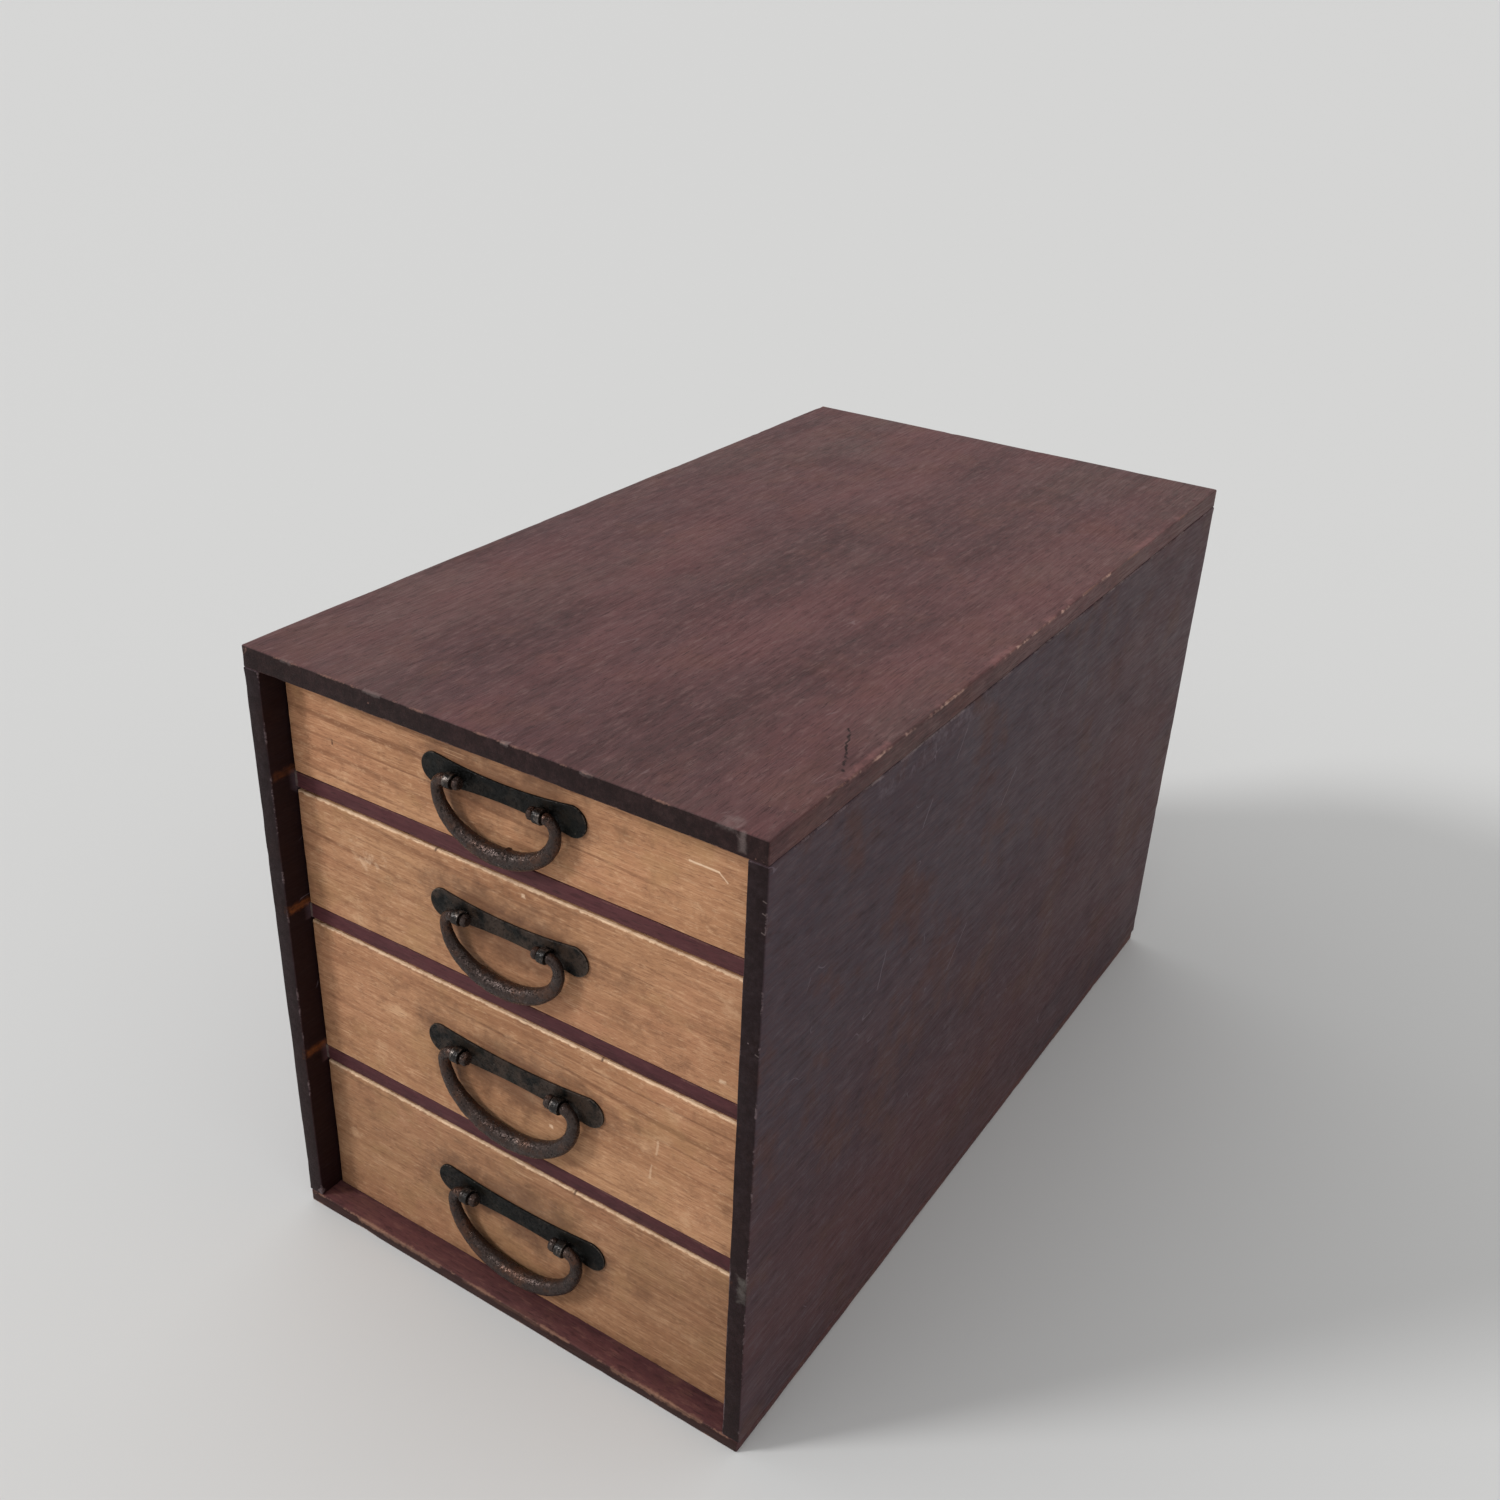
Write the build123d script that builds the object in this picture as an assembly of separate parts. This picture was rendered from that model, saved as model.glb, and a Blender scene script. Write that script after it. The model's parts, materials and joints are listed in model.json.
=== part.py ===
from build123d import *
import os
from math import cos, hypot, pi, sin

# Tabletop chest with four drawers and forged iron drop handles.
# Millimetres, +Z up. Origin at the middle of the base, front faces -Y.

# Case
case_width = 282.5
case_depth = 512.5
side_thickness = 9.7
top_thickness = 11.1
bottom_thickness = 7.5
back_thickness = 6.0
divider_thickness = 8.8
top_inset = 0.4          # the top ends just inside the faces of the sides
bottom_inset = 1.0
drawer_setback = 13.5    # drawer faces behind the front of the case
divider_inset = 0.6      # divider edges behind the drawer faces
arris = 0.6              # worn corner of the case boards

# Case joints
rebate_width = 4.0       # seat of the back panel in the boards round it
back_recess = 0.5        # back panel behind the rear edges
dado_depth = 3.0
joint_fit = 0.1          # play of a board in its groove

# Clear heights of the four bays, from the top down
top_bay = 57.0
upper_bay = 66.0
lower_bay = 80.3
bottom_bay = 86.7

# Drawer boxes
front_thickness = 11.0
front_lap = 5.0          # wood in front of the rebates for sides and bottom
drawer_side_thickness = 7.0
drawer_back_thickness = 7.0
drawer_bottom_thickness = 5.0
side_play = 0.8          # each side of a drawer
head_play = 1.0          # above a drawer
slide_gap = 0.3          # under a drawer
rear_gap = 1.5           # between a closed drawer and the back panel
side_drop = 0.6          # drawer sides below the top of the front
back_drop = 4.0          # drawer back below the top of the front
front_arris = 0.8        # worn corner of the drawer fronts

# Wooden pegs, square, with their play
peg_size = 2.2
peg_bite = 12.0          # length in the second board
peg_fit = 0.05
peg_end_space = 24.0     # first peg from the end of a row
side_peg_count = 4       # along each side of the case, above and below
wall_peg_low = 8.0       # lower peg at a drawer's corner above its floor
wall_peg_high = 11.0     # upper one below the top of the wall
floor_peg_count = 3      # along each edge of a drawer's bottom

# Handles: two sizes
handle_sizes = {
    "small": dict(
        plate_length=91.2, lobe_height=15.2, waist_height=9.2, eye_span=49.6,
        eye_radius=3.6, eye_length=4.0, eye_standoff=0.6, neck_radius=1.8,
        knob_radius=3.1, knob_length=3.6, bail_overhang=8.35, bail_drop=28.2,
        bail_radius=4.45, shoulder_radius=2.5,
    ),
    "large": dict(
        plate_length=106.4, lobe_height=16.4, waist_height=10.8, eye_span=61.0,
        eye_radius=4.0, eye_length=4.6, eye_standoff=0.2, neck_radius=2.0,
        knob_radius=3.5, knob_length=4.2, bail_overhang=9.3, bail_drop=36.0,
        bail_radius=4.75, shoulder_radius=2.8,
    ),
}
plate_thickness = 1.2
leg_thickness = 1.4      # each of the two legs of an eye pin
leg_split = 0.2          # slit between the legs
clench_length = 10.0     # legs bent over inside the drawer
clench_flat = 6.0        # length of full thickness, then they thin out
tip_thickness = 0.5
knob_bevel = 1.1         # hammered corner of the knobs
leg_fit = 0.15           # play of the legs in plate and front
hinge_fit = 0.08         # play of the bail's neck in the eye
end_play = 0.4           # room along the axis on both sides of an eye
bail_depth_ratio = 0.92  # depth of the bail's section against its height
bail_swell = 3           # how late the bail thickens towards its middle
bail_sides = 16          # hammered flats round the bail
knob_sides = 8
bend_steps = 2           # stretches of the bail in each bend at its shoulders
bow_steps = 5            # and from there to its middle

# Drawers from the top down: name, handle size, plate above mid height
drawers = (
    ("top", "small", 5.5),
    ("upper", "small", 5.2),
    ("lower", "large", 5.8),
    ("bottom", "large", 7.7),
)

# Places that follow from the sizes
bay_heights = (top_bay, upper_bay, lower_bay, bottom_bay)
ceiling_z = bottom_thickness + sum(bay_heights) + (len(bay_heights) - 1) * divider_thickness
case_height = ceiling_z + top_thickness
half_width = case_width / 2
front_y = -case_depth / 2
rear_y = case_depth / 2
inner_half = half_width - side_thickness
rebate_y = rear_y - back_recess - back_thickness
face_y = front_y + drawer_setback
lap_y = face_y + front_lap
drawer_rear_y = rebate_y - rear_gap
drawer_half = inner_half - side_play
divider_y = face_y + divider_inset
bays = []
bay_top = ceiling_z
for bay_height in bay_heights:
    bays.append((bay_top - bay_height, bay_top))
    bay_top -= bay_height + divider_thickness

parts = {}


def block(x0, x1, y0, y1, z0, z1):
    size = Box(x1 - x0, y1 - y0, z1 - z0)
    return Pos((x0 + x1) / 2, (y0 + y1) / 2, (z0 + z1) / 2) * size


def board(x0, x1, y0, y1, z0, z1):
    plank = block(x0, x1, y0, y1, z0, z1)
    return chamfer(plank.edges(), arris)


def spread(start, end, count):
    step = (end - start) / (count - 1)
    return [start + step * k for k in range(count)]


def peg(place, axis, length, slack=0.0):
    # square peg from the outer face inwards; with slack it is the hole for one
    width = peg_size + 2 * slack
    stick = Box(width, width, length, align=(Align.CENTER, Align.CENTER, Align.MIN))
    return Plane(origin=place, z_dir=axis) * stick


class PegRow:
    def __init__(self):
        self.places = []

    def add(self, place, axis, length):
        self.places.append((place, axis, length))

    def solids(self):
        return Compound([peg(*p).solid() for p in self.places])

    def drill(self, piece):
        holes = [peg(*p, slack=peg_fit) for p in self.places]
        return piece - holes


def add_case():
    top = board(
        -half_width + top_inset, half_width - top_inset, front_y, rear_y, ceiling_z, case_height
    )
    bottom = board(
        -half_width + bottom_inset, half_width - bottom_inset, front_y, rear_y, 0, bottom_thickness
    )
    sides = {
        "left": board(-half_width, -inner_half, front_y, rear_y, bottom_thickness, ceiling_z),
        "right": board(inner_half, half_width, front_y, rear_y, bottom_thickness, ceiling_z),
    }

    # back panel in a rebate all round
    seat_x = inner_half + rebate_width
    seat_low = bottom_thickness - rebate_width
    seat_high = ceiling_z + rebate_width
    seat = block(-seat_x, seat_x, rebate_y, rear_y, seat_low, seat_high)
    panel = block(
        -seat_x + joint_fit, seat_x - joint_fit,
        rebate_y, rear_y - back_recess,
        seat_low + joint_fit, seat_high - joint_fit,
    )
    top -= seat
    bottom -= seat
    sides = {name: piece - seat for name, piece in sides.items()}

    # dividers in stopped grooves of the sides
    groove_x = inner_half + dado_depth
    for name, (bay_low, _) in zip(("upper", "middle", "lower"), bays):
        low = bay_low - divider_thickness
        groove = block(
            -groove_x, groove_x, divider_y - joint_fit, rear_y, low, bay_low + joint_fit
        )
        sides = {side: piece - groove for side, piece in sides.items()}
        shelf = block(
            -groove_x + joint_fit, groove_x - joint_fit, divider_y, rebate_y, low, bay_low
        )
        front_edges = shelf.edges().filter_by(Axis.X).group_by(Axis.Y)[0]
        parts[f"{name}_divider"] = chamfer(front_edges, arris)

    # pegs down through the top, up through the bottom and in through the back
    rail_x = half_width - side_thickness / 2
    row_y = spread(front_y + peg_end_space, rebate_y - peg_end_space, side_peg_count)
    top_pegs = PegRow()
    bottom_pegs = PegRow()
    back_pegs = PegRow()
    for x in (-rail_x, rail_x):
        for y in row_y:
            top_pegs.add((x, y, case_height), (0, 0, -1), top_thickness + peg_bite)
            bottom_pegs.add((x, y, 0), (0, 0, 1), bottom_thickness + peg_bite)
    seat_mid = inner_half + rebate_width / 2
    for x in (-seat_mid, seat_mid):
        for bay_low, bay_high in bays:
            place = (x, rear_y - back_recess, (bay_low + bay_high) / 2)
            back_pegs.add(place, (0, -1, 0), back_thickness + peg_bite)
    for pegs in (top_pegs, bottom_pegs, back_pegs):
        sides = {name: pegs.drill(piece) for name, piece in sides.items()}

    parts["top_board"] = top_pegs.drill(top)
    parts["bottom_board"] = bottom_pegs.drill(bottom)
    parts["left_side"] = sides["left"]
    parts["right_side"] = sides["right"]
    parts["back_panel"] = back_pegs.drill(panel)
    parts["top_pegs"] = top_pegs.solids()
    parts["bottom_pegs"] = bottom_pegs.solids()
    parts["back_pegs"] = back_pegs.solids()


def leg_slot(x, z, eye_length, depth_from, depth_to):
    # way for the two legs of an eye pin, through plate or front
    half_x = eye_length / 2 + leg_fit
    half_z = leg_thickness + leg_split / 2 + leg_fit
    return block(x - half_x, x + half_x, depth_from, depth_to, z - half_z, z + half_z)


def add_drawer(name, bay, handle, plate_z):
    low = bay[0] + slide_gap
    high = bay[1] - head_play
    floor_z = low + drawer_bottom_thickness
    wall_top = high - side_drop
    wall_x = drawer_half - drawer_side_thickness
    front_rear = face_y + front_thickness

    # front with worn face edges, rebated at its ends and underside
    front = block(-drawer_half, drawer_half, face_y, front_rear, low, high)
    face_edges = front.faces().sort_by(Axis.Y)[0].edges()
    front = chamfer(face_edges, front_arris)
    for side in (-1, 1):
        inner, outer = sorted((side * wall_x, side * drawer_half))
        front -= block(inner, outer, lap_y, front_rear, low, high)
    front -= block(-drawer_half, drawer_half, lap_y, front_rear, low, floor_z)
    for x in (-handle["eye_span"] / 2, handle["eye_span"] / 2):
        front -= leg_slot(x, plate_z, handle["eye_length"], face_y, front_rear)

    walls = {
        "left": block(-drawer_half, -wall_x, lap_y, drawer_rear_y, floor_z, wall_top),
        "right": block(wall_x, drawer_half, lap_y, drawer_rear_y, floor_z, wall_top),
    }
    back_y = drawer_rear_y - drawer_back_thickness
    back = block(-wall_x, wall_x, back_y, drawer_rear_y, floor_z, high - back_drop)
    bottom = block(-drawer_half, drawer_half, lap_y, drawer_rear_y, low, floor_z)

    # pegs through the sides into front and back, and up through the bottom
    pegs = PegRow()
    lap_mid = (lap_y + front_rear) / 2
    back_mid = drawer_rear_y - drawer_back_thickness / 2
    wall_mid = drawer_half - drawer_side_thickness / 2
    for side in (-1, 1):
        for z in (floor_z + wall_peg_low, wall_top - wall_peg_high):
            for y in (lap_mid, back_mid):
                place = (side * drawer_half, y, z)
                pegs.add(place, (-side, 0, 0), drawer_side_thickness + peg_bite)
        for y in spread(lap_y + peg_end_space, back_y - peg_end_space, floor_peg_count):
            pegs.add((side * wall_mid, y, low), (0, 0, 1), drawer_bottom_thickness + peg_bite)

    parts[f"{name}_drawer_front"] = pegs.drill(front)
    parts[f"{name}_drawer_left_side"] = pegs.drill(walls["left"])
    parts[f"{name}_drawer_right_side"] = pegs.drill(walls["right"])
    parts[f"{name}_drawer_back"] = pegs.drill(back)
    parts[f"{name}_drawer_bottom"] = pegs.drill(bottom)
    parts[f"{name}_drawer_pegs"] = pegs.solids()


def handle_plate(handle, plate_z):
    # dog-bone outline: two round-ended lobes joined by a bar that narrows to its waist
    half_length = handle["plate_length"] / 2
    lobe = handle["lobe_height"] / 2
    waist = handle["waist_height"] / 2
    lobe_x = half_length - lobe
    outline = [
        ThreePointArc((-lobe_x, lobe), (0, waist), (lobe_x, lobe)),
        ThreePointArc((lobe_x, lobe), (half_length, 0), (lobe_x, -lobe)),
        ThreePointArc((lobe_x, -lobe), (0, -waist), (-lobe_x, -lobe)),
        ThreePointArc((-lobe_x, -lobe), (-half_length, 0), (-lobe_x, lobe)),
    ]
    on_face = Plane(origin=(0, face_y, plate_z), x_dir=(1, 0, 0), z_dir=(0, -1, 0))
    plate = extrude(on_face * make_face(outline), plate_thickness)
    for x in (-handle["eye_span"] / 2, handle["eye_span"] / 2):
        plate -= leg_slot(x, plate_z, handle["eye_length"], face_y - plate_thickness, face_y)
    return plate


def pivot_y(handle):
    # bail axis, so far in front of the drawer face that the eyes clear the plate
    return face_y - plate_thickness - handle["eye_standoff"] - handle["eye_radius"]


def flats(count, radius, flatness=1.0):
    # outline of a bar hammered to even flats, with one flat to the front
    angles = [2 * pi / count * (k + 0.5) for k in range(count)]
    return Polygon(*[(radius * flatness * cos(a), radius * sin(a)) for a in angles], align=None)


def eye_pin(handle, x, plate_z):
    # a strip folded round the bail's neck; its legs pass through the front and are bent over inside
    length = handle["eye_length"]
    radius = handle["eye_radius"]
    pivot_out = face_y - pivot_y(handle)
    inside = -front_thickness
    near = leg_split / 2
    far = near + leg_thickness
    leg = Polyline(
        (pivot_out, near), (pivot_out, far), (inside, far), (inside, clench_length),
        (inside - tip_thickness, clench_length), (inside - leg_thickness, clench_flat),
        (inside - leg_thickness, far), (inside - tip_thickness, near), (pivot_out, near),
    )
    across = Plane(
        origin=(x - length / 2, face_y, plate_z), x_dir=(0, -1, 0), z_dir=(1, 0, 0)
    )
    upper = extrude(across * make_face(leg), length)
    on_axis = Pos(x, pivot_y(handle), plate_z) * Rot(0, 90, 0)
    pin = on_axis * Cylinder(radius, length) + upper + mirror(upper, about=Plane.XY.offset(plate_z))
    return pin - on_axis * Cylinder(handle["neck_radius"] + hinge_fit, length)


def bail(handle, plate_z):
    axis_y = pivot_y(handle)
    eye_x = handle["eye_span"] / 2
    half = eye_x + handle["bail_overhang"]
    shoulder_x = eye_x + handle["eye_length"] / 2 + end_play
    knob_x = eye_x - handle["eye_length"] / 2 - end_play
    bend = half - shoulder_x
    sweep_height = handle["bail_drop"] - bend

    # stations of one half, from the shoulder round the bend and along a quarter oval to the middle
    stations = []
    for k in range(bend_steps + 1):
        angle = k / bend_steps * pi / 2
        place = (half - bend + bend * sin(angle), -bend + bend * cos(angle))
        stations.append((place, (cos(angle), -sin(angle))))
    for k in range(1, bow_steps + 1):
        angle = k / bow_steps * pi / 2
        place = (half * cos(angle), -bend - sweep_height * sin(angle))
        slope = (-half * sin(angle), -sweep_height * cos(angle))
        size = hypot(*slope)
        stations.append((place, (slope[0] / size, slope[1] / size)))
    # the other half is its mirror image, run through backwards
    other = [((-p[0], p[1]), (t[0], -t[1])) for p, t in reversed(stations[:-1])]
    stations += other

    sections = []
    for k, ((x, z), (tx, tz)) in enumerate(stations):
        share = sin(pi * k / (len(stations) - 1)) ** bail_swell
        radius = handle["shoulder_radius"] * (1 - share) + handle["bail_radius"] * share
        plane = Plane(
            origin=(x, axis_y, plate_z + z), x_dir=(0, 1, 0), z_dir=(tx, 0, tz)
        )
        sections.append(plane * flats(bail_sides, radius, bail_depth_ratio))
    bow = loft(sections, ruled=True)

    # necks through the eyes, each ending in a knob
    neck = Rot(0, 90, 0) * Cylinder(handle["neck_radius"], shoulder_x - knob_x)
    knob_outline = Plane.YZ * flats(knob_sides, handle["knob_radius"])
    knob = extrude(knob_outline, handle["knob_length"] / 2, both=True)
    ends = knob.faces().sort_by(Axis.X)
    knob = chamfer(ends[0].edges() + ends[-1].edges(), knob_bevel)
    for side in (-1, 1):
        bow += Pos(side * (shoulder_x + knob_x) / 2, axis_y, plate_z) * neck
        end_x = side * (knob_x - handle["knob_length"] / 2)
        bow += Pos(end_x, axis_y, plate_z) * knob
    return bow


def add_handle(name, handle, plate_z):
    pins = [eye_pin(handle, side * handle["eye_span"] / 2, plate_z) for side in (-1, 1)]
    parts[f"{name}_handle_plate"] = handle_plate(handle, plate_z)
    parts[f"{name}_eye_pins"] = Compound([p.solid() for p in pins])
    parts[f"{name}_bail"] = bail(handle, plate_z)


add_case()
for (name, size, lift), bay in zip(drawers, bays):
    handle = handle_sizes[size]
    plate_z = (bay[0] + slide_gap + bay[1] - head_play) / 2 + lift
    add_drawer(name, bay, handle, plate_z)
    add_handle(name, handle, plate_z)

os.makedirs("parts", exist_ok=True)
for node, piece in parts.items():
    export_step(piece, f"parts/{node}.step")
print(len(parts), "nodes")
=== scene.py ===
import json
import math
import bmesh
import bpy
from mathutils import Euler, Matrix, Vector, kdtree, noise


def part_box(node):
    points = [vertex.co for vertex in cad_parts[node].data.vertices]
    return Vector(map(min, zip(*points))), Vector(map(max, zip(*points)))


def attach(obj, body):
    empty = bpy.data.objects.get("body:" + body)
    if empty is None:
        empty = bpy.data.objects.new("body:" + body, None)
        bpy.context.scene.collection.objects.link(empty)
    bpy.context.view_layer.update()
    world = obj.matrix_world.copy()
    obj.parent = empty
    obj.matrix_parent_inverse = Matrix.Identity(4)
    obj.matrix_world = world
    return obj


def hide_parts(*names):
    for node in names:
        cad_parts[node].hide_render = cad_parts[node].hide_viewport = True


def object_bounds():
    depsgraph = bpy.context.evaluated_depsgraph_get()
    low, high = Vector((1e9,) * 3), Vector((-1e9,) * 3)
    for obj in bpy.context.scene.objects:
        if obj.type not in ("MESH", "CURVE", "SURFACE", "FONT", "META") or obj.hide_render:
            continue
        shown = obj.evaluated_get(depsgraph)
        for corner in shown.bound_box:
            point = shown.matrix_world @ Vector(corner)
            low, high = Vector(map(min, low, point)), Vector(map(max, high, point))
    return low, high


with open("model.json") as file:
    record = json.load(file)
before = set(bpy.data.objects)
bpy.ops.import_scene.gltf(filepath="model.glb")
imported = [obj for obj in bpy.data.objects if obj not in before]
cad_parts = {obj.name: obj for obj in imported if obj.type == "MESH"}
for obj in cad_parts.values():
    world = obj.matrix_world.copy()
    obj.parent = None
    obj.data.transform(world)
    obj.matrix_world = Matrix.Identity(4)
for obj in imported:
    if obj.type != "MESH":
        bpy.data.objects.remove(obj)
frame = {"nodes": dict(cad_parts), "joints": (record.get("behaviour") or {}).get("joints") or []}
cadBox = [list(corner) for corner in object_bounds()]
drawerNames = ("top", "upper", "lower", "bottom")
dividerNames = ("upper", "middle", "lower")
print("frame loaded with", len(frame["nodes"]), "nodes")


# small helpers for node trees

def tone(red, green, blue):
    # screen colour 0-255 to the linear value that the shader takes
    parts = [c / 255 for c in (red, green, blue)]
    return [c / 12.92 if c < 0.04 else ((c + 0.055) / 1.055) ** 2.4 for c in parts] + [1.0]


def feed(tree, socket, value):
    if isinstance(value, bpy.types.NodeSocket):
        tree.links.new(value, socket)
    else:
        socket.default_value = value


def put(tree, kind, settings=None, inputs=None):
    node = tree.nodes.new("ShaderNode" + kind)
    for key, value in (settings or {}).items():
        setattr(node, key, value)
    for key, value in (inputs or {}).items():
        feed(tree, node.inputs[key], value)
    return node


def calc(tree, operation, *values):
    return put(tree, "Math", {"operation": operation}, dict(enumerate(values))).outputs[0]


def times(tree, first, second):
    return calc(tree, "MULTIPLY", first, second)


def mulAdd(tree, value, factor, extra):
    return calc(tree, "MULTIPLY_ADD", value, factor, extra)


def per(tree, size):
    return calc(tree, "DIVIDE", 1.0, size)


def vecCalc(tree, operation, *values):
    return put(tree, "VectorMath", {"operation": operation}, dict(enumerate(values))).outputs[0]


def stretch(tree, vector, shares):
    return vecCalc(tree, "MULTIPLY", vector, shares)


def scaled(tree, vector, size):
    return put(tree, "VectorMath", {"operation": "SCALE"}, {0: vector, "Scale": size}).outputs[0]


def measure(tree, operation, *vectors):
    node = put(tree, "VectorMath", {"operation": operation}, dict(enumerate(vectors)))
    return node.outputs["Value"]


def remap(tree, value, low, high, toLow=0.0, toHigh=1.0):
    inputs = {"Value": value, "From Min": low, "From Max": high, "To Min": toLow, "To Max": toHigh}
    return put(tree, "MapRange", {"interpolation_type": "SMOOTHSTEP"}, inputs).outputs["Result"]


def blendIn(tree, share, under, over):
    node = put(tree, "Mix", {"data_type": "RGBA"})
    feed(tree, node.inputs[0], share)
    feed(tree, node.inputs[6], under)        # colour A
    feed(tree, node.inputs[7], over)        # colour B
    return node.outputs[2]


def coats(tree, paints, base, layers):
    # thin coats over a base colour, each with its mask, its share and its paint
    colour = tone(*paints[base])
    for mask, share, paint in layers:
        colour = blendIn(tree, times(tree, mask, share), colour, tone(*paints[paint]))
    return colour


def cloud(tree, vector, scale, detail=2.0, rough=0.5, output="Fac"):
    inputs = {"Vector": vector, "Scale": scale, "Detail": detail, "Roughness": rough}
    return put(tree, "TexNoise", {}, inputs).outputs[output]


vectorInputs = ("Vector", "Low", "High", "Start", "End")        # all others are numbers


def newGroup(name, inputs, outputs=("Mask",)):
    tree = bpy.data.node_groups.new(name, "ShaderNodeTree")
    for label in inputs:
        kind = "Vector" if label in vectorInputs else "Float"
        tree.interface.new_socket(label, in_out="INPUT", socket_type="NodeSocket" + kind)
    for label in outputs:
        tree.interface.new_socket(label, in_out="OUTPUT", socket_type="NodeSocketFloat")
    given = tree.nodes.new("NodeGroupInput").outputs
    wanted = tree.nodes.new("NodeGroupOutput").inputs
    return tree, given, wanted


def useGroup(tree, group, inputs):
    node = tree.nodes.new("ShaderNodeGroup")
    node.node_tree = group
    for key, value in inputs.items():
        feed(tree, node.inputs[key], value)
    return node.outputs


def masked(tree, group, place, inputs):
    return useGroup(tree, group, dict(inputs, Vector=place))["Mask"]


def newMaterial(name):
    material = bpy.data.materials.new(name)
    material.use_nodes = True
    tree = material.node_tree
    return material, tree, tree.nodes["Principled BSDF"]


def stored(tree, name):
    return put(tree, "Attribute", {"attribute_name": name}).outputs["Fac"]


def surface(tree, shader, look, colour, dull, height, strength=0.5):
    # every material ends with its colour, dullness, fine relief and gloss
    feed(tree, shader.inputs["Base Color"], colour)
    dull = remap(tree, dull, *look["dullRange"], look["smooth"], look["dull"])
    feed(tree, shader.inputs["Roughness"], dull)
    bump = put(tree, "Bump", {}, {"Height": height, "Strength": strength, "Distance": look["relief"]})
    feed(tree, shader.inputs["Normal"], bump.outputs[0])
    shader.inputs["Specular IOR Level"].default_value = look["gloss"]


# shared effects

halfway = (0.5, 0.5, 0.5)        # middle of a coloured noise


def makeWoodGrain():
    # grain along X: broad streaks, fine fibres, growth lines, short dark pores and flecks
    outputs = ("Streaks", "Fibres", "Lines", "Pores", "Flecks")
    tree, given, wanted = newGroup("woodGrain", ("Vector", "Streak", "Fibre", "Wander"), outputs)
    slow = stretch(tree, given["Vector"], (4.0, 16.0, 16.0))
    drift = vecCalc(tree, "SUBTRACT", cloud(tree, slow, 1.0, output="Color"), halfway)
    drift = stretch(tree, drift, (0.0, 2.0, 2.0))
    bent = vecCalc(tree, "ADD", given["Vector"], scaled(tree, drift, given["Wander"]))
    long = stretch(tree, bent, (0.05, 1.0, 1.0))
    fine = stretch(tree, bent, (0.03, 1.0, 1.0))
    short = stretch(tree, bent, (0.09, 1.0, 1.0))
    stubby = stretch(tree, bent, (0.3, 1.0, 1.0))
    perStreak = per(tree, given["Streak"])
    perFibre = per(tree, given["Fibre"])
    feed(tree, wanted["Streaks"], cloud(tree, long, perStreak, 3.0, 0.6))
    feed(tree, wanted["Fibres"], cloud(tree, fine, perFibre, 3.0, 0.65))
    ring = put(tree, "TexWave", {"bands_direction": "DIAGONAL"}, {
        "Vector": long, "Scale": times(tree, perStreak, 0.55), "Distortion": 5.0,
        "Detail": 2.0, "Detail Scale": 1.2})
    feed(tree, wanted["Lines"], remap(tree, ring.outputs["Fac"], 0.84, 1.0))
    pores = cloud(tree, short, times(tree, perFibre, 1.2), 1.0)
    feed(tree, wanted["Pores"], remap(tree, pores, 0.60, 0.74))
    feed(tree, wanted["Flecks"], cloud(tree, stubby, times(tree, perFibre, 0.38), 4.0, 0.68))
    return tree


def makeEdgeWear():
    # rubbed edge: how far the wear reaches in changes along the edge
    tree, given, wanted = newGroup("edgeWear", ("Vector", "Distance", "Reach", "Patches"))
    patches = cloud(tree, given["Vector"], given["Patches"], 4.0, 0.6)
    limit = times(tree, remap(tree, patches, 0.38, 0.68, 0.06, 1.0), given["Reach"])
    ragged = calc(tree, "SUBTRACT", cloud(tree, given["Vector"], 900.0, 3.0, 0.6), 0.5)
    frayed = mulAdd(tree, ragged, times(tree, given["Reach"], 1.2), given["Distance"])
    feed(tree, wanted["Mask"], remap(tree, calc(tree, "DIVIDE", frayed, limit), 1.0, 0.35))
    return tree


def makeScratches():
    # thin broken lines along X of the given vector
    tree, given, wanted = newGroup("scratches", ("Vector", "Length", "Spacing", "Cover"))
    perSpacing = per(tree, given["Spacing"])
    perLength = per(tree, given["Length"])
    shares = put(tree, "CombineXYZ", {}, {"X": perLength, "Y": perSpacing, "Z": perSpacing})
    drawn = stretch(tree, given["Vector"], shares.outputs[0])
    level = calc(tree, "ABSOLUTE", calc(tree, "SUBTRACT", cloud(tree, drawn, 1.0, 0.0), 0.5))
    line = remap(tree, level, 0.012, 0.004)
    gate = cloud(tree, stretch(tree, drawn, (11.0, 0.5, 0.5)), 1.0, 1.0)
    gateLow = calc(tree, "SUBTRACT", 0.72, given["Cover"])
    gateHigh = calc(tree, "SUBTRACT", 0.78, given["Cover"])
    feed(tree, wanted["Mask"], times(tree, line, remap(tree, gate, gateLow, gateHigh)))
    return tree


def makeSpecks():
    # small spots, a share of the cells filled, each with its own size
    tree, given, wanted = newGroup("specks", ("Vector", "Spacing", "Size", "Cover"))
    perSpacing = per(tree, given["Spacing"])
    cells = put(tree, "TexVoronoi", {}, {
        "Vector": given["Vector"], "Scale": perSpacing, "Randomness": 1.0}).outputs
    luck = put(tree, "SeparateColor", {}, {"Color": cells["Color"]}).outputs
    filled = calc(tree, "LESS_THAN", luck["Red"], given["Cover"])
    size = times(tree, given["Size"], mulAdd(tree, luck["Green"], 0.8, 0.2))
    size = calc(tree, "DIVIDE", size, given["Spacing"])
    inside = remap(tree, calc(tree, "DIVIDE", cells["Distance"], size), 1.0, 0.55)
    feed(tree, wanted["Mask"], times(tree, inside, filled))
    return tree


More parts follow.
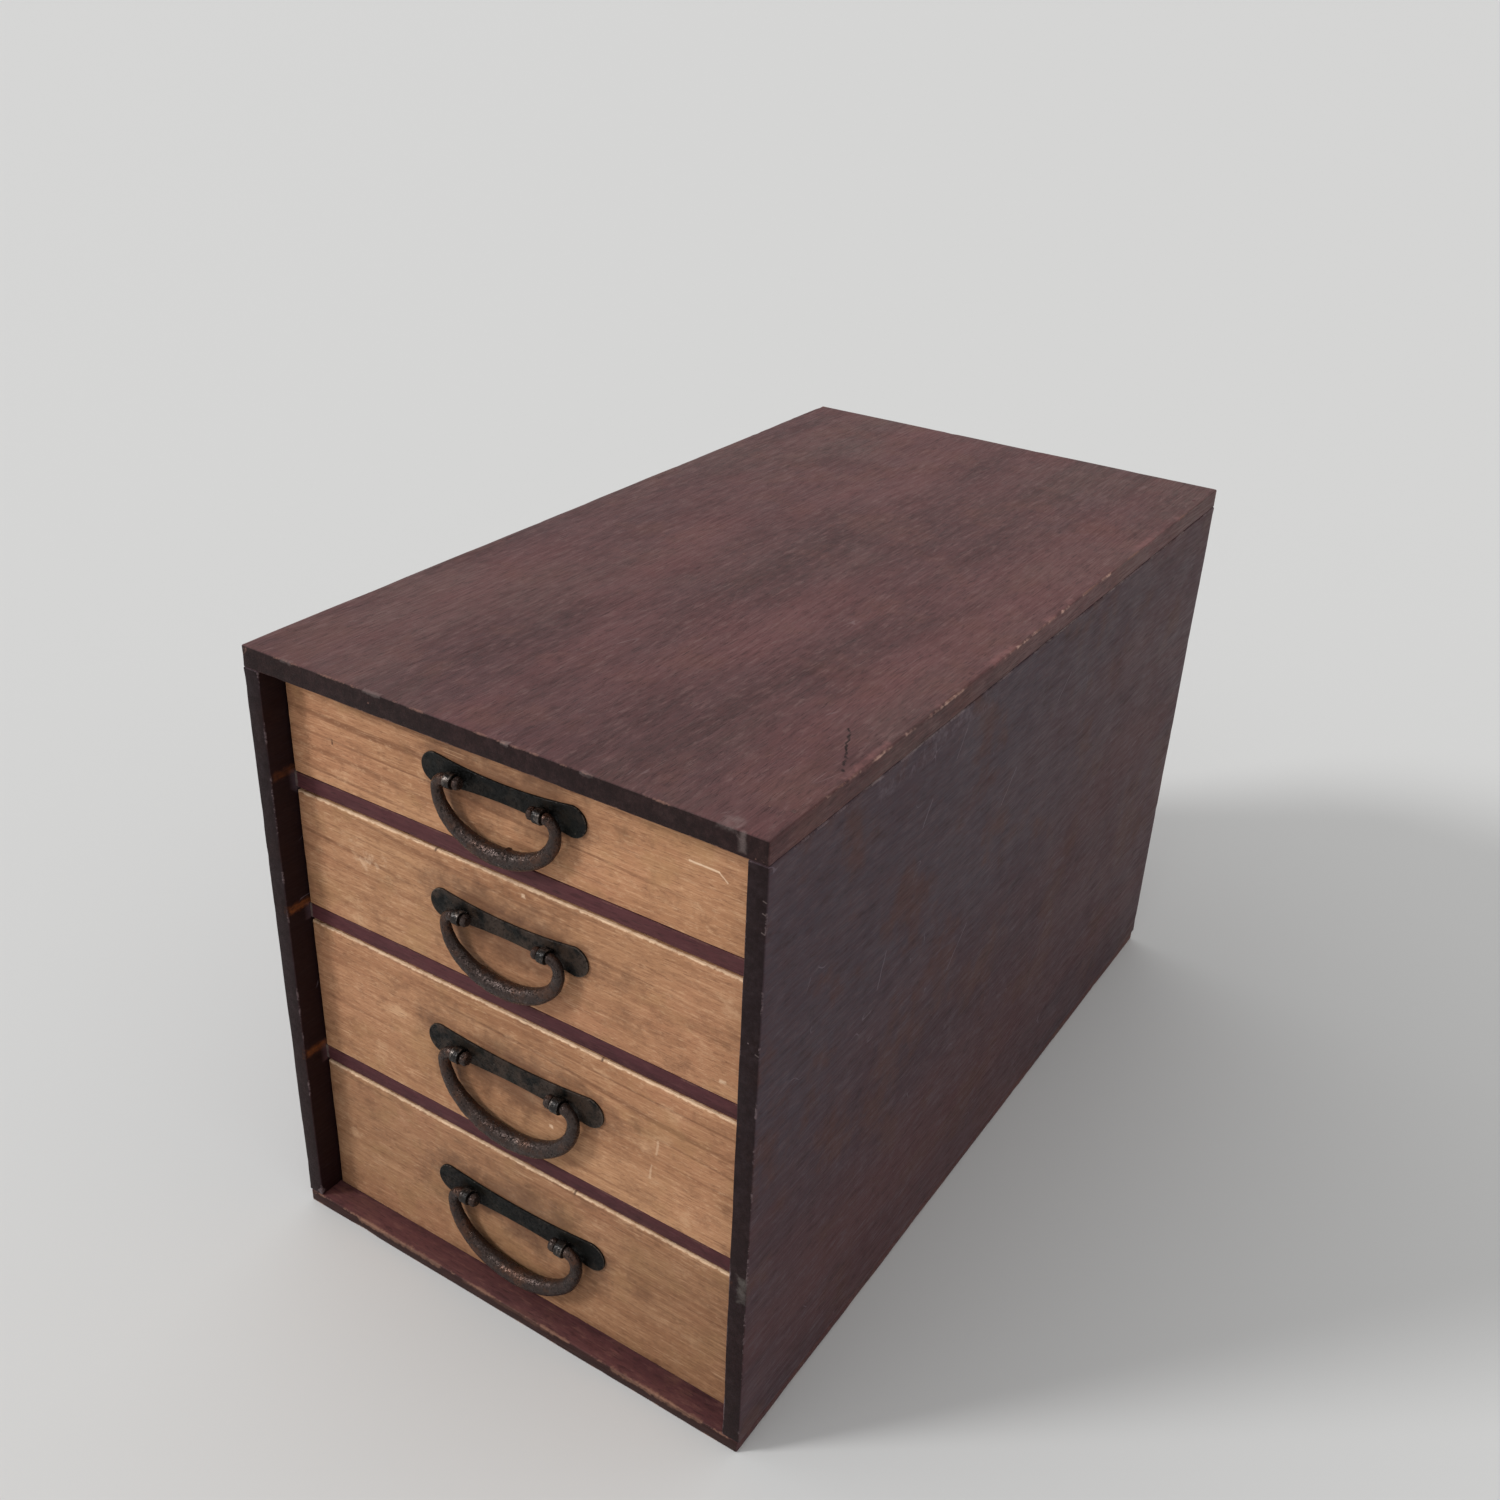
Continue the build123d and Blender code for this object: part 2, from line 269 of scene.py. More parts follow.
def makeRubbedPatch():
    # a mark at a given place: a box with a soft, ragged border
    tree, given, wanted = newGroup("rubbedPatch", ("Vector", "Low", "High", "Soft", "Ragged"))
    under = vecCalc(tree, "SUBTRACT", given["Low"], given["Vector"])
    over = vecCalc(tree, "SUBTRACT", given["Vector"], given["High"])
    out = put(tree, "SeparateXYZ", {}, {0: vecCalc(tree, "MAXIMUM", under, over)}).outputs
    gap = calc(tree, "MAXIMUM", calc(tree, "MAXIMUM", out["X"], out["Y"]), out["Z"])
    fray = calc(tree, "SUBTRACT", cloud(tree, given["Vector"], 350.0, 3.0, 0.6), 0.5)
    gap = mulAdd(tree, fray, given["Ragged"], gap)
    inner = times(tree, given["Soft"], -1.0)
    feed(tree, wanted["Mask"], remap(tree, gap, given["Soft"], inner))
    return tree


def makeScoreLine():
    # a thin, slightly crooked line between two places
    tree, given, wanted = newGroup("scoreLine", ("Vector", "Start", "End", "Width", "Wobble"))
    shaky = vecCalc(tree, "SUBTRACT", cloud(tree, given["Vector"], 150.0, output="Color"), halfway)
    spot = vecCalc(tree, "ADD", given["Vector"], scaled(tree, shaky, given["Wobble"]))
    spot = vecCalc(tree, "SUBTRACT", spot, given["Start"])
    run = vecCalc(tree, "SUBTRACT", given["End"], given["Start"])
    done = measure(tree, "DOT_PRODUCT", spot, run)
    whole = measure(tree, "DOT_PRODUCT", run, run)
    along = put(tree, "Clamp", {}, {"Value": calc(tree, "DIVIDE", done, whole)}).outputs[0]
    away = measure(tree, "DISTANCE", spot, scaled(tree, run, along))
    feed(tree, wanted["Mask"], remap(tree, calc(tree, "DIVIDE", away, given["Width"]), 1.0, 0.4))
    return tree


woodGrain = makeWoodGrain()
edgeWear = makeEdgeWear()
scratches = makeScratches()
specks = makeSpecks()
rubbedPatch = makeRubbedPatch()
scoreLine = makeScoreLine()
print("shared effects ready")


# places that several pieces need
caseLow, caseHigh = Vector(cadBox[0]), Vector(cadBox[1])
sideLow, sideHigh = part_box("right_side")
innerX = sideLow.x + 0.0002        # just inside the wood of the sides
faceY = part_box("top_drawer_front")[0].y
turns = {"X": (0.0, 0.0, 0.0), "Y": (0.0, 0.0, -math.pi / 2), "Z": (0.0, math.pi / 2, 0.0)}


def woodStart(name, grainAxis, shift, look):
    # every wood starts from its place, turned so that the grain runs along X, and the grain there
    material, tree, shader = newMaterial(name)
    place = put(tree, "TexCoord").outputs["Object"]
    turned = put(tree, "Mapping", {}, {
        "Vector": place, "Location": shift, "Rotation": turns[grainAxis]}).outputs[0]
    grain = useGroup(tree, woodGrain, {
        "Vector": turned, "Streak": look["streak"], "Fibre": look["fibre"], "Wander": look["wander"]})
    return material, tree, shader, place, turned, grain


def wornEdge(tree, place, look):
    distance = stored(tree, "edgeDistance")
    return masked(tree, edgeWear, place, {
        "Distance": distance, "Reach": look["edgeReach"], "Patches": look["edgePatches"]})


# marks that have their place

skin = 0.001        # how far the box of a mark stands out of the surface


def boxMark(low, high, soft, ragged, paint, strength, patchy=None):
    inputs = {"Low": low, "High": high, "Soft": soft, "Ragged": ragged}
    return {"group": rubbedPatch, "inputs": inputs, "paint": paint, "strength": strength,
            "even": 0.45, "patchy": patchy}


def lineMark(start, end, width, wobble, paint, strength):
    inputs = {"Start": start, "End": end, "Width": width, "Wobble": wobble}
    return {"group": scoreLine, "inputs": inputs, "paint": paint, "strength": strength,
            "even": 0.7, "patchy": None}


def paintMark(tree, place, fibres, mark, colour):
    # broken up a little by the grain, or into patches
    shape = masked(tree, mark["group"], place, mark["inputs"])
    uneven = remap(tree, fibres, 0.25, 0.62, mark["even"], 1.0)
    share = times(tree, times(tree, shape, uneven), mark["strength"])
    if mark["patchy"]:
        gate = remap(tree, cloud(tree, place, mark["patchy"], 4.0, 0.65), 0.47, 0.60)
        share = times(tree, share, gate)
    return blendIn(tree, share, colour, tone(*mark["paint"]))


# purple-brown stain of the case

caseStain = {
    "dark": (70, 48, 48), "mid": (88, 61, 62), "red": (106, 69, 69), "haze": (102, 82, 76),
    "warm": (110, 74, 64), "endFace": (22, 9, 9), "inside": (25, 6, 4), "rub": (150, 112, 98),
    "pore": (44, 29, 29), "grit": (128, 100, 97), "score": (136, 114, 114),
    "streak": 0.013, "fibre": 0.0007, "wander": 0.006,
    "bands": (4.0, 17.0, 17.0), "clouds": (6.0, 12.0, 12.0), "mottle": 24.0,
    "gritSize": (78.0, 260.0, 260.0),
    "hazeShare": 0.5, "warmShare": 0.35, "darkShare": 0.28, "gritShare": 0.45, "fibreShare": 0.34,
    "poreShare": 0.476, "fleckShare": 0.30, "insideShare": 0.9,
    "specks": {"Spacing": 0.009, "Size": 0.0008, "Cover": 0.12}, "speckShare": 0.45,
    "scores": {"Length": 0.36, "Spacing": 0.008, "Cover": 0.06}, "scoreShare": 0.3, "slant": 0.12,
    "edgeReach": 0.0012, "edgePatches": 55.0, "edgeShare": 0.5,
    "smooth": 0.46, "dull": 0.70, "dullRange": (0.2, 0.9), "relief": 0.0003, "gloss": 0.14,
}
sideStain = dict(
    caseStain, dark=(66, 47, 52), mid=(76, 55, 60), red=(86, 57, 58), haze=(72, 65, 73),
    warm=(84, 57, 52), grit=(96, 82, 87), rub=(136, 118, 120), score=(128, 114, 122), streak=0.026,
    hazeShare=0.7, warmShare=0.8, gritShare=0.55, fibreShare=0.10, poreShare=0.14,
    scoreShare=0.42, slant=0.42, gloss=0.12, relief=0.00012)
bottomStain = dict(
    caseStain, dark=(66, 40, 43), mid=(84, 51, 53), red=(98, 61, 60), warm=(104, 72, 60),
    grit=(122, 84, 76), rub=(150, 112, 92), endFace=(44, 27, 24),
    hazeShare=0.15, warmShare=0.65, gritShare=0.6, scoreShare=0.0, gloss=0.12, edgeReach=0.0018)
dividerStain = dict(
    caseStain, dark=(62, 34, 37), mid=(75, 42, 46), red=(86, 49, 52), warm=(80, 48, 46),
    grit=(96, 60, 60), hazeShare=0.1, gloss=0.10, edgeShare=0.2, scoreShare=0.0)
backStain = dict(caseStain, edgeShare=0.3)
pegStain = dict(caseStain, edgeShare=0.0)


def stainedWood(name, grainAxis, shift, look, endShare=0.95, marks=(), zone=None):
    material, tree, shader, place, turned, grain = woodStart(name, grainAxis, shift, look)
    bands = cloud(tree, stretch(tree, turned, look["bands"]), 1.0, 4.0, 0.6)
    haze = cloud(tree, stretch(tree, turned, look["clouds"]), 1.0, 4.0, 0.6)
    haze = remap(tree, haze, 0.45, 0.70)
    if zone:
        # this face is greyer in one corner
        spot = put(tree, "SeparateXYZ", {}, {0: place}).outputs
        wobble = calc(tree, "SUBTRACT", cloud(tree, place, zone["scale"], 4.0, 0.6), 0.5)
        height = mulAdd(tree, wobble, zone["wobble"], spot["Z"])
        depth = mulAdd(tree, wobble, zone["wobble"], spot["Y"])
        corner = times(tree, remap(tree, height, *zone["height"]), remap(tree, depth, *zone["depth"]))
        haze = calc(tree, "MAXIMUM", times(tree, haze, zone["elsewhere"]), corner)
    mottled = cloud(tree, turned, look["mottle"], 6.0, 0.68)
    grit = cloud(tree, stretch(tree, turned, look["gritSize"]), 1.0, 4.0, 0.72)
    fibres = remap(tree, grain["Fibres"], 0.32, 0.68)
    endFace = stored(tree, "endGrain")
    soaked = remap(tree, grit, 0.36, 0.66, endShare, endShare * 0.9)
    slant = (0.0, look["slant"], look["slant"])
    tilted = put(tree, "Mapping", {}, {"Vector": turned, "Rotation": slant}).outputs[0]
    scores = masked(tree, scratches, tilted, look["scores"])
    scores = times(tree, scores, calc(tree, "SUBTRACT", 1.0, endFace))
    worn = wornEdge(tree, place, look)
    colour = coats(tree, look, "dark", [
        # stain soaked in unevenly: dark and reddish bands, soft clouds
        (remap(tree, grain["Streaks"], 0.34, 0.62), 1.0, "mid"),
        (remap(tree, bands, 0.40, 0.66), 1.0, "red"),
        (haze, look["hazeShare"], "haze"),
        (remap(tree, mottled, 0.50, 0.66), look["warmShare"], "warm"),
        (remap(tree, mottled, 0.46, 0.30), look["darkShare"], "dark"),
        # fine texture: grit, fibres, flecks and pores
        (remap(tree, grit, 0.50, 0.70), look["gritShare"], "grit"),
        (remap(tree, grit, 0.48, 0.30), look["gritShare"], "pore"),
        (fibres, look["fibreShare"], "dark"),
        (remap(tree, grain["Flecks"], 0.34, 0.66), look["fleckShare"], "red"),
        (grain["Pores"], look["poreShare"], "pore"),
        # darker end grain and inner faces, then scratches, specks and worn edges
        (endFace, soaked, "endFace"),
        (stored(tree, "innerFace"), look["insideShare"], "inside"),
        (scores, look["scoreShare"], "score"),
        (masked(tree, specks, place, look["specks"]), look["speckShare"], "rub"),
        (worn, look["edgeShare"], "rub"),
    ])
    for mark in marks:
        colour = paintMark(tree, place, grain["Fibres"], mark, colour)

    # satin where the stain lies thick, duller along fibres and wear
    dull = mulAdd(tree, fibres, 0.4, times(tree, cloud(tree, place, 30.0, 3.0), 0.6))
    dull = calc(tree, "MAXIMUM", dull, worn)
    height = mulAdd(tree, grain["Pores"], -0.6, times(tree, grain["Fibres"], 0.6))
    surface(tree, shader, look, colour, dull, mulAdd(tree, scores, -0.4, height))
    return material


# light tan wood of the drawer fronts

frontPaint = {
    "light": (196, 148, 109), "tan": (182, 133, 97), "brown": (158, 110, 77), "red": (188, 132, 99),
    "line": (116, 74, 50), "grime": (90, 58, 40), "pale": (222, 180, 141), "dirt": (132, 92, 66),
    "olive": (172, 134, 91),
}
frontWood = {
    "streak": 0.009, "fibre": 0.0006, "wander": 0.003,
    "bands": (5.0, 22.0, 22.0), "mottle": (45.0, 70.0, 70.0),
    "tanShare": 0.7, "redShare": 0.5, "fibreShare": 0.22, "poreShare": 0.45, "oliveShare": 0.3,
    "paleFibres": 0.24, "paleFlecks": 0.42, "dirtyFlecks": 0.50, "dirtyMottle": 0.60, "paleMottle": 0.45,
    "grimeShare": 0.66, "smudgeShare": 0.30,
    "specks": {"Spacing": 0.009, "Size": 0.0008, "Cover": 0.14}, "speckShare": 0.55,
    "dents": {"Length": 0.24, "Spacing": 0.007, "Cover": 0.07}, "dentShare": 0.4,
    "edgeReach": 0.0013, "edgePatches": 70.0, "edgeShare": 0.75,
    "smooth": 0.50, "dull": 0.74, "dullRange": (0.2, 0.9), "relief": 0.00035, "gloss": 0.2,
}


def withPaintedShade(paints, share):
    # the same colours, lighter or darker: painted shade for each drawer
    return {key: tuple(c * share for c in paint) for key, paint in paints.items()}


def drawerFrontWood(name, shift, handleZ, grip, marks, paint, look=frontWood):
    material, tree, shader, place, turned, grain = woodStart(name, "X", shift, look)
    bands = stretch(tree, turned, look["bands"])
    few = remap(tree, cloud(tree, bands, 1.3), 0.42, 0.66, 0.12, 0.62)
    warm = cloud(tree, vecCalc(tree, "ADD", turned, (7.0, 3.0, 1.0)), 12.0, 3.0, 0.6)
    fibres = remap(tree, grain["Fibres"], 0.34, 0.66)
    mottled = cloud(tree, stretch(tree, turned, look["mottle"]), 1.0, 6.0, 0.74)
    tinge = cloud(tree, vecCalc(tree, "ADD", turned, (2.0, 5.0, 4.0)), 30.0, 4.0, 0.65)

    # hands have darkened the wood round the handle
    reach = vecCalc(tree, "SUBTRACT", place, (0.0, 0.0, handleZ))
    far = measure(tree, "LENGTH", stretch(tree, reach, (1 / grip[0], 0.0, 1 / grip[1])))
    cloudy = calc(tree, "SUBTRACT", cloud(tree, place, 55.0, 5.0, 0.7), 0.5)
    grime = remap(tree, mulAdd(tree, cloudy, 2.2, far), 1.2, 0.3)
    smudges = cloud(tree, place, 85.0, 4.0, 0.7)
    colour = coats(tree, paint, "brown", [
        # long streaks, warm clouds and thin growth lines
        (remap(tree, grain["Streaks"], 0.30, 0.64), 1.0, "light"),
        (remap(tree, cloud(tree, bands, 1.0, 3.0, 0.55), 0.3, 0.6), look["tanShare"], "tan"),
        (remap(tree, warm, 0.45, 0.7), look["redShare"], "red"),
        (grain["Lines"], few, "line"),
        # fibres, flecks, mottling and pores
        (fibres, look["fibreShare"], "line"),
        (remap(tree, grain["Fibres"], 0.46, 0.30), look["paleFibres"], "pale"),
        (remap(tree, grain["Flecks"], 0.52, 0.72), look["paleFlecks"], "pale"),
        (remap(tree, grain["Flecks"], 0.46, 0.28), look["dirtyFlecks"], "dirt"),
        (remap(tree, mottled, 0.50, 0.70), look["dirtyMottle"], "dirt"),
        (remap(tree, mottled, 0.46, 0.28), look["paleMottle"], "pale"),
        (remap(tree, tinge, 0.52, 0.68), look["oliveShare"], "olive"),
        (grain["Pores"], look["poreShare"], "line"),
        # grime, specks and dents
        (grime, look["grimeShare"], "grime"),
        (remap(tree, smudges, 0.56, 0.74), look["smudgeShare"], "grime"),
        (masked(tree, specks, place, look["specks"]), look["speckShare"], "grime"),
        (masked(tree, scratches, turned, look["dents"]), look["dentShare"], "pale"),
    ])
    for mark in marks:
        colour = paintMark(tree, place, grain["Fibres"], mark, colour)
    worn = times(tree, wornEdge(tree, place, look), look["edgeShare"])
    colour = blendIn(tree, worn, colour, tone(*paint["pale"]))

    # smoother where hands have been
    dull = mulAdd(tree, grime, -0.4, mulAdd(tree, fibres, 0.3, 0.55))
    height = mulAdd(tree, grain["Pores"], -0.5, times(tree, grain["Fibres"], 0.6))
    surface(tree, shader, look, colour, dull, mulAdd(tree, grain["Lines"], -0.3, height))
    return material


# bare wood inside the drawers

boxWood = {
    "light": (206, 176, 138), "tan": (184, 150, 112), "line": (140, 106, 76),
    "streak": 0.012, "fibre": 0.0009, "wander": 0.004,
    "lineShare": 0.25, "fibreShare": 0.25, "poreShare": 0.4, "stainShare": 0.35,
    "smooth": 0.62, "dull": 0.82, "dullRange": (0.0, 1.0), "relief": 0.0003, "gloss": 0.35,
}


def plainWood(name, grainAxis, shift, look=boxWood):
    material, tree, shader, place, turned, grain = woodStart(name, grainAxis, shift, look)
    fibres = remap(tree, grain["Fibres"], 0.3, 0.7)
    stain = remap(tree, cloud(tree, place, 18.0, 4.0, 0.6), 0.5, 0.75)
    colour = coats(tree, look, "tan", [
        (remap(tree, grain["Streaks"], 0.35, 0.66), 1.0, "light"),
        (grain["Lines"], look["lineShare"], "line"),
        (fibres, look["fibreShare"], "line"),
        (grain["Pores"], look["poreShare"], "line"),
        (stain, look["stainShare"], "line"),
    ])
    surface(tree, shader, look, colour, fibres, grain["Fibres"])
    return material


# blackened iron of plates, eyes and bails

plateIron = {
    "black": (6, 6, 5), "brown": (30, 24, 19), "green": (20, 22, 18), "bright": (92, 82, 74),
    "pit": (2, 2, 2), "rustScale": 110.0, "rustFrom": 0.45, "rustSoft": 0.23, "greenShare": 0.5,
    "pitScale": 900.0, "pitShare": 0.6,
    "specks": {"Spacing": 0.004, "Size": 0.0008, "Cover": 0.20}, "speckShare": 0.6,
    "edgeReach": 0.0006, "edgePatches": 160.0, "edgeShare": 0.5,
    "smooth": 0.36, "dull": 0.72, "dullRange": (0.35, 0.8), "metal": 0.0, "gloss": 0.16, "relief": 0.0009,
}
rustyPlate = dict(plateIron, brown=(52, 41, 34), rustFrom=0.34, relief=0.0008)
bailIron = dict(
    plateIron, black=(58, 46, 42), brown=(78, 53, 41), green=(72, 64, 60), bright=(140, 128, 120),
    pit=(18, 12, 9), pitShare=0.85, speckShare=0.35,
    smooth=0.24, dull=0.48, metal=0.70, gloss=0.5, relief=0.0013)
eyeIron = dict(
    bailIron, black=(26, 22, 20), brown=(42, 31, 25), green=(32, 29, 27), metal=0.55, relief=0.0008)


def blackIron(name, look):
    material, tree, shader = newMaterial(name)
    place = put(tree, "TexCoord").outputs["Object"]
    rust = cloud(tree, place, look["rustScale"], 4.0, 0.6)
    tint = cloud(tree, vecCalc(tree, "ADD", place, (3.0, 1.0, 2.0)), 60.0, 3.0)
    pits = remap(tree, cloud(tree, place, look["pitScale"], 4.0, 0.7), 0.52, 0.68)
    worn = times(tree, wornEdge(tree, place, look), look["edgeShare"])
    dots = times(tree, masked(tree, specks, place, look["specks"]), look["speckShare"])
    colour = coats(tree, look, "black", [
        (remap(tree, rust, look["rustFrom"], look["rustFrom"] + look["rustSoft"]), 1.0, "brown"),
        (remap(tree, tint, 0.5, 0.7), look["greenShare"], "green"),
        (pits, look["pitShare"], "pit"),
        (calc(tree, "MAXIMUM", worn, dots), 1.0, "bright"),
    ])
    dull = mulAdd(tree, pits, 0.3, cloud(tree, place, 260.0, 3.0, 0.6))
    lumps = times(tree, cloud(tree, place, 420.0, 4.0, 0.6), 0.8)
    surface(tree, shader, look, colour, dull, mulAdd(tree, pits, -0.5, lumps), 0.6)
    shader.inputs["Metallic"].default_value = look["metal"]
    return material


# worn copies of the boards and the flat ironwork

creaseFrom = math.radians(55)        # steeper edges stay sharp
rimFrom = math.radians(60)           # steeper edges of the ironwork get a bevel


def steep(edge, angle):
    return len(edge.link_faces) == 2 and edge.calc_face_angle(0.0) > angle


def finishPiece(name, bm, material, body, node):
    for face in bm.faces:
        face.smooth = True
    for edge in bm.edges:
        if steep(edge, creaseFrom):
            edge.smooth = False
    mesh = bpy.data.meshes.new(name)
    bm.to_mesh(mesh)
    bm.free()
    piece = bpy.data.objects.new(name, mesh)
    bpy.context.scene.collection.objects.link(piece)
    mesh.materials.append(material)
    weighted = piece.modifiers.new("evenShading", "WEIGHTED_NORMAL")
    weighted.keep_sharp = True
    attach(piece, body)
    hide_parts(node)


def mergedCopy(node):
    bm = bmesh.new()
    bm.from_mesh(frame["nodes"][node].data)
    bmesh.ops.remove_doubles(bm, verts=bm.verts, dist=2e-6)
    bmesh.ops.dissolve_limit(bm, angle_limit=math.radians(1), verts=bm.verts, edges=bm.edges)
    return bm


def sliceUp(bm, node, cell):
    # cut the faces into cells, so that edges can be dented
    low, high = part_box(node)
    for axis in range(3):
        span = high[axis] - low[axis]
        count = max(2, round(span / cell))
        across = Vector([1.0 if k == axis else 0.0 for k in range(3)])
        for k in range(1, count):
            geom = bm.verts[:] + bm.edges[:] + bm.faces[:]
            spot = across * (low[axis] + span * k / count)
            bmesh.ops.bisect_plane(bm, geom=geom, dist=1e-6, plane_co=spot, plane_no=across)


boardWear = {
    "cell": 0.005, "wave": 0.00005, "waveLength": 0.07,
    "rub": 0.00035, "rubLength": 0.030, "rubMore": 0.25,
    "chip": 0.0011, "chipLength": 0.0065, "chipFrom": 0.34,
    "reach": 0.0022, "endFrom": 0.85, "jointReach": 0.0009,
}


def atJoint(spot, reach):
    # edges pressed together, where the sides meet top and bottom, stay whole
    height = min(abs(spot.z - sideLow.z), abs(spot.z - sideHigh.z))
    return height < reach and abs(spot.x) > sideLow.x - reach


def wornBoard(name, node, material, body, seed, wear=boardWear):
    bm = mergedCopy(node)
    sliceUp(bm, node, wear["cell"])
    bm.normal_update()
    low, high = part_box(node)
    distance = bm.verts.layers.float.new("edgeDistance")
    endFace = bm.verts.layers.float.new("endGrain")
    innerFace = bm.verts.layers.float.new("innerFace")
    middle = (low + high) / 2
    inwards = -math.copysign(1.0, middle.x) if middle.x else 0.0
    shift = Vector((seed * 1.7, seed * 0.9, seed * 2.3))
    moves = []
    for vert in bm.verts:
        gaps = sorted(min(vert.co[k] - low[k], high[k] - vert.co[k]) for k in range(3))
        vert[distance] = gaps[1]
        vert[endFace] = 1.0 if abs(vert.normal.y) > wear["endFrom"] else 0.0
        vert[innerFace] = 1.0 if vert.normal.x * inwards > wear["endFrom"] else 0.0
        if atJoint(vert.co, wear["jointReach"]):
            continue
        depth = wear["wave"] * (0.5 + 0.5 * noise.noise(vert.co / wear["waveLength"] + shift))
        if gaps[1] < wear["reach"]:
            soft = 1 - gaps[1] / wear["reach"]
            rub = max(0.0, noise.noise(vert.co / wear["rubLength"] + shift) + wear["rubMore"])
            chip = max(0.0, noise.noise(vert.co / wear["chipLength"] - shift) - wear["chipFrom"])
            depth += soft * (wear["rub"] * rub + wear["chip"] * chip)
        moves.append((vert, vert.normal * -depth))
    for vert, move in moves:
        vert.co += move
    finishPiece(name, bm, material, body, node)


ironWear = {
    "bevel": 0.00035, "segments": 2, "cell": 0.0022, "rimLimit": 0.004,
    "dent": 0.00014, "dentLength": 0.009,
    "onFace": 1e-5, "onRim": 2e-5, "level": 1e-6,        # how near counts as there
}


def bevelRim(bm, rimEdges, wear):
    bmesh.ops.bevel(bm, geom=rimEdges, offset=wear["bevel"], segments=wear["segments"], profile=0.5,
                    affect="EDGES", material=-1, clamp_overlap=True)


def nearEdge(bm, rim, limit):
    # distance from the hammered rim, kept for the wear
    distance = bm.verts.layers.float.new("edgeDistance")
    tree = kdtree.KDTree(len(rim))
    for k, spot in enumerate(rim):
        tree.insert(spot, k)
    tree.balance()
    for vert in bm.verts:
        vert[distance] = min(limit, tree.find(vert.co)[2])


def wornPlate(name, node, material, body, seed, wear=ironWear):
    bm = mergedCopy(node)
    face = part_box(node)[0].y
    front = [e for e in bm.edges if all(abs(v.co.y - face) < wear["onFace"] for v in e.verts)]
    bevelRim(bm, [e for e in front if steep(e, rimFrom)], wear)
    rimEnd = face + wear["bevel"] * 1.1
    rim = [v.co.copy() for v in bm.verts if face + wear["onFace"] < v.co.y < rimEnd]
    sliceUp(bm, node, wear["cell"])
    bm.normal_update()
    nearEdge(bm, rim, wear["rimLimit"])
    shift = Vector((seed * 2.1, seed * 1.3, seed * 0.7))
    for vert in bm.verts:
        if vert.co.y < face + wear["bevel"] * 0.5:
            vert.co.y += wear["dent"] * (0.5 + 0.5 * noise.noise(vert.co / wear["dentLength"] + shift))
    finishPiece(name, bm, material, body, node)


def onEyeRim(edge, pivot, radius, wear):
    # an edge that runs round the outside of an eye, at one of its ends
    first, second = edge.verts
    if abs(first.co.x - second.co.x) >= wear["level"]:
        return False
    outs = [math.hypot(v.co.y - pivot.y, v.co.z - pivot.z) for v in edge.verts]
    return all(abs(out - radius) < wear["onRim"] for out in outs)


def wornEyes(name, node, pivot, material, body, wear=ironWear):
    bm = mergedCopy(node)
    radius = pivot.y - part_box(node)[0].y
    rimEdges = [e for e in bm.edges if onEyeRim(e, pivot, radius, wear) and steep(e, rimFrom)]
    rim = [v.co.copy() for e in rimEdges for v in e.verts]
    bevelRim(bm, rimEdges, wear)
    nearEdge(bm, rim, wear["rimLimit"])
    finishPiece(name, bm, material, body, node)


# forged bails: one ring drawn along the bar from knob to knob

bailForm = {
    "sides": 36, "step": 0.0007, "flat": 0.92,
    "small": {"bow": 0.00468, "shoulder": 0.0027, "neck": 0.0018, "knob": 0.0031, "knobLength": 0.0036},
    "large": {"bow": 0.00505, "shoulder": 0.0030, "neck": 0.0020, "knob": 0.0035, "knobLength": 0.0042},
    "knobBevel": 0.0011, "knobSides": 8, "knobSwell": 1.01, "endPlay": 0.0004, "collar": 0.00015,
    "bendShare": 1 / 7, "swell": 3, "swellAtSide": 0.06, "sag": 0.0006,
    "burr": {"bail": "top", "x": 0.0056, "height": 0.0012, "width": 0.0013, "upwards": 0.7},
    "hammer": 0.00022, "hammerLength": 0.0055, "pit": 0.00013, "pitLength": 0.0016, "fadeIn": 0.004,
    "plainEdge": 0.002, "knobEdge": 0.0005,        # distances for the worn edge of bar and knob
}


def knobProfile(size, shoulder, knobEnd):
    # place along the neck, radius and knob share, from the knob's end to the shoulder
    bevel, length, knob = bailForm["knobBevel"], size["knobLength"], size["knob"]
    rounded = knob - bevel * 0.45
    collar = shoulder - knobEnd
    return [
        (0.0, knob - bevel, 1.0), (bevel * 0.4, rounded, 1.0), (bevel, knob, 1.0),
        (length / 2, knob * bailForm["knobSwell"], 1.0),
        (length - bevel, knob, 1.0), (length - bevel * 0.4, rounded, 1.0),
        (length, size["neck"], 0.0), (collar, size["neck"], 0.0),
        (collar + bailForm["collar"], size["shoulder"] * 0.9, 0.0),
    ]


